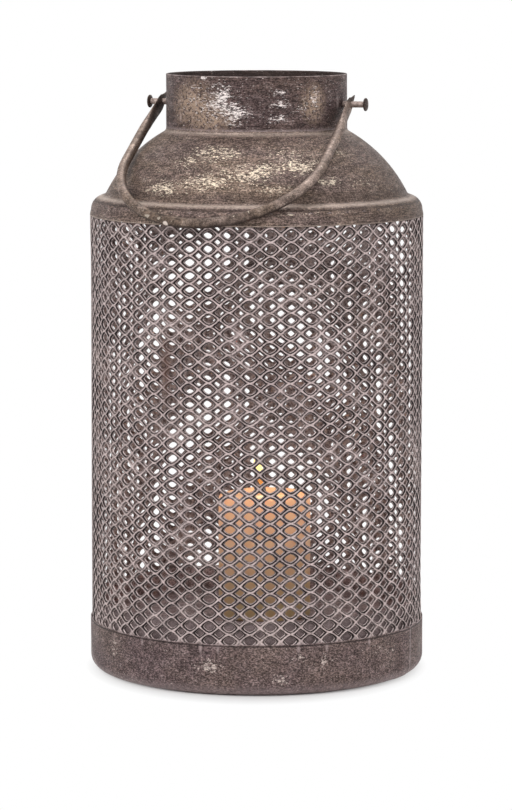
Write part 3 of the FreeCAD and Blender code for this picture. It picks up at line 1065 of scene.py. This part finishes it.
# A painted highlight on the rod's upward-facing sides above its lowest part, given as wear.
top_facing_highlight = times(tree, between(tree, turned["Z"], 0.2, 0.9), between(tree, axes["Z"], 0.39, 0.41))
lead(times(tree, top_facing_highlight, 0.4), coat, "Wear")
dress(bail, bail_metal)


# Candle: a poured pillar of ivory wax, 76 mm across, set down a little off the middle.
# Its rim is soft from the heat and the wax round the wick has sunk to a shallow pool.

candle_foot = 0.0421
candle_top = 0.1437
candle_middle = Vector((0.0061, 0.0022, 0))
candle_sides = 96
rim_melt = 0.0009
melted_from = 0.031
wax_dimple = 0.0002

# Each ring of the candle: its radius and its height above the foot
candle_line = [
    (0.0367, 0), (0.0378, 0.0005), (0.0381, 0.0016), (0.0381, 0.02), (0.0381, 0.04), (0.0381, 0.06),
    (0.0381, 0.08), (0.0381, 0.096), (0.0379, 0.0993), (0.0371, 0.101), (0.0358, 0.1016), (0.0345, 0.1012),
    (0.0334, 0.1001), (0.0322, 0.0991), (0.03, 0.0987), (0.02, 0.0985), (0.008, 0.0983), (0.002, 0.0985),
]


def candle_ring(radius, above):
    """A ring of the candle, whose rim has melted unevenly."""
    ring = []
    melted = rim_melt * min(1, above / 0.1) ** 8 if radius > melted_from else 0
    for turn in turns_round(candle_sides):
        drop = melted * (1 - noise.noise(Vector((math.cos(turn), math.sin(turn), 3)) * 1.6))
        sink = wax_dimple * abs(noise.noise(spot(radius, turn, above) * 60))
        ring.append(candle_middle + spot(radius - sink, turn, candle_foot + above - drop))
    return ring


candle = draw_rings("candle_wax", [candle_ring(r, z) for r, z in candle_line], ends="filled")
smooth(candle, 60)
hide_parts("candle")
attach(candle, "candle")
wax, tree = new_material("candle_wax")
place, axes = own(tree)
height = axes["Z"]
mottle = noise_at(tree, place, 60, 4, 0.6)
colour = over(tree, between(tree, mottle, 0.35, 0.65), tone(228, 198, 166), tone(243, 215, 181))
colour = over(tree, between(tree, height, 0.1, 0.045), colour, tone(216, 192, 144))
# Painted glow: the wax gives out orange light that grows towards the top, and a pale glow in the pool round
# the wick, standing in for the flame's light in the wax.
painted_glow_share = between(tree, height, 0.05, candle_top, 0.1, 0.75)
painted_glow_colour = over(tree, times(tree, painted_glow_share, painted_glow_share), tone(0, 0, 0), tone(248, 166, 112))
pool = patch_at(tree, candle_middle + Vector((-0.003, -0.002, 0.1408)), (0.007, 0.012, 0.004))
relief = node(tree, "Bump", {"Strength": 0.25, "Distance": 0.0006, "Height": mottle})
surface_of(tree, {
    "Base Color": colour,
    "Roughness": between(tree, mottle, 0.3, 0.7, 0.5, 0.38),
    "Normal": relief.outputs["Normal"],
    "Subsurface Weight": 0.25,
    "Subsurface Scale": 0.012,
    "Emission Color": over(tree, pool, painted_glow_colour, tone(255, 236, 176)),
    "Emission Strength": 1,
})
dress(candle, wax)


# Wick: a braided cotton cord, burnt black where it stands out of the wax, and bent over.

# Each ring of the wick: how far it is bent over, its height and its radius
wick_line = [
    (0, 0.1408, 0.0011), (0, 0.1445, 0.0011), (-0.0002, 0.1478, 0.0011), (-0.001, 0.1506, 0.001),
    (-0.0021, 0.1526, 0.0009), (-0.003, 0.1538, 0.0006),
]
wick_sides = 12


def wick_ring(bent, height, radius):
    """A ring of the wick, whose three strands twist as they go up."""
    middle = candle_middle + Vector((bent, 0, height))
    turns = turns_round(wick_sides)
    return [middle + spot(radius * (1 + 0.12 * math.cos(3 * t + 900 * height)), t, 0) for t in turns]


wick = draw_rings("wick_cord", [wick_ring(*row) for row in wick_line], ends="filled")
smooth(wick, 60)
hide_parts("wick")
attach(wick, "candle")
char, tree = new_material("wick_char")
place, axes = own(tree)
braid = noise_at(tree, place, 1500, 3, 0.7)
burnt = over(tree, between(tree, axes["Z"], 0.143, 0.1465), tone(120, 92, 64), tone(24, 20, 19))
surface_of(tree, {
    "Base Color": over(tree, between(tree, braid, 0.4, 0.7, 0, 0.5), burnt, tone(70, 58, 50)),
    "Roughness": between(tree, braid, 0.3, 0.7, 0.95, 0.75),
    "Normal": node(tree, "Bump", {"Strength": 0.6, "Distance": 0.0004, "Height": braid}).outputs["Normal"],
})
dress(wick, char)


# Flame: a small still flame on the end of the wick, leaning a little with it.
# It is hot gas, so it gives light, takes none, and has no slot of its own.

# Each ring of the flame: its height, its radius and how far it leans
flame_line = [
    (0.1505, 0.0012, -0.0026), (0.1535, 0.0026, -0.0032), (0.157, 0.0036, -0.004), (0.161, 0.004, -0.005),
    (0.165, 0.0036, -0.006), (0.169, 0.0026, -0.0068), (0.1725, 0.0015, -0.0074), (0.1755, 0.0005, -0.0078),
]
flame_sides = 16
flame_heart = candle_middle + Vector((-0.005, 0, 0.166))


def flame_ring(height, radius, lean):
    """A ring of the flame."""
    middle = candle_middle + Vector((lean, 0, 0))
    return [middle + spot(radius, turn, height) for turn in turns_round(flame_sides)]


flame = draw_rings("flame", [flame_ring(*row) for row in flame_line], ends="filled")
smooth(flame, 80)
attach(flame, "candle")
fire, tree = new_material("flame_light")
heat = between(tree, own(tree)[1]["Z"], 0.1555, 0.161)
surface_of(tree, {
    "Base Color": tone(255, 200, 120),
    "Roughness": 1,
    "Emission Color": over(tree, heat, tone(64, 44, 34), tone(255, 228, 138)),
    "Emission Strength": 1.6,
})
dress(flame, fire)


def hang(name, data, place):
    """Puts a light or a camera at its place."""
    hung = bpy.data.objects.new(name, data)
    bpy.context.scene.collection.objects.link(hung)
    hung.location = place
    return hung


glow_light = bpy.data.lights.new("flame_glow", "POINT")
glow_light.energy = 0.11
glow_light.color = (1, 0.62, 0.3)
glow_light.shadow_soft_size = 0.004
glow_lamp = hang("flame_glow", glow_light, flame_heart)
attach(glow_lamp, "candle")


# Studio: a plain white floor that runs off into a white surround, with soft light from all
# round, a broad lamp high on the front left and a weaker one on the right.

# The lantern's shadow on the floor ends between these distances from the axis, front to back squashed.
shadow_full = 0.113
shadow_gone = 0.142
shadow_squash = (1, 0.85, 1)


def looked_at(tree):
    """1 where the camera, a reflection or a clear thing looks, and 0 where the floor gives light."""
    path = node(tree, "LightPath").outputs
    return highest(tree, path["Is Camera Ray"], path["Is Glossy Ray"], path["Is Transmission Ray"])


pick()
bpy.ops.mesh.primitive_plane_add(size=12, location=(0, 0, 0))
floor = bpy.context.object
floor.name = "studio_floor"
paper, tree = new_material("studio_paper")
matt = node(tree, "BsdfDiffuse", {"Color": (0.86, 0.86, 0.86, 1)}).outputs[0]
white = node(tree, "Emission", {"Color": (1, 1, 1, 1), "Strength": 1}).outputs[0]
to_front = {"Vector": own(tree)[0], "Angle": math.radians(-front_degrees)}
to_front = node(tree, "VectorRotate", to_front, rotation_type="Z_AXIS").outputs[0]
lit = between(tree, axis_distance(tree, to_front, shadow_squash), shadow_full, shadow_gone)
lit = times(tree, looked_at(tree), lit)
laid = node(tree, "MixShader", {0: lit, 1: matt, 2: white}).outputs[0]
node(tree, "OutputMaterial", {"Surface": laid})
dress(floor, paper)

world = bpy.data.worlds.new("studio_air")
world.use_nodes = True
tree = world.node_tree
tree.nodes.clear()
strength = between(tree, looked_at(tree), 0, 1, 0.62, 1)
air = node(tree, "Background", {"Color": (1, 1, 1, 1), "Strength": strength})
node(tree, "OutputWorld", {"Surface": air.outputs[0]})
bpy.context.scene.world = world

# Each lamp: its turn from the front, its distance from the axis, its height, size and power
for name, turn, reach, height, size, power in (
    ("front_left_lamp", -38, 1.6, 1.5, 0.9, 14),
    ("front_right_lamp", 52, 1.7, 1, 0.8, 6),
    ("top_lamp", 150, 0.5, 1.7, 0.9, 9),
):
    light = bpy.data.lights.new(name, "AREA")
    light.shape = "DISK"
    light.size = size
    light.energy = power
    lamp = hang(name, light, facing(turn, reach, height))
    lamp.rotation_mode = "QUATERNION"
    aim = Vector((0, 0, 0.25)) - lamp.location
    lamp.rotation_quaternion = aim.to_track_quat("-Z", "Y")


# Camera: at the photograph's place, 3 m away and a little above the lantern, on a long lens.

camera_turn = math.radians(front_degrees)
camera_away = 2.96
camera_height = 0.598
camera_tilt = math.radians(7.334)
camera_left = 0.00057
lens_data = bpy.data.cameras.new("camera")
lens_data.sensor_width = 36
lens_data.lens = 160.6
lens_data.clip_end = 50
to_right = Vector((math.cos(camera_turn), math.sin(camera_turn), 0))
to_back = Vector((math.sin(camera_turn), -math.cos(camera_turn), 0))
camera_place = to_back * camera_away - to_right * camera_left + Vector((0, 0, camera_height))
camera = hang("camera", lens_data, camera_place)
camera.rotation_euler = (math.pi / 2 - camera_tilt, 0, camera_turn)
bpy.context.scene.camera = camera
bpy.context.scene.view_settings.view_transform = "Standard"
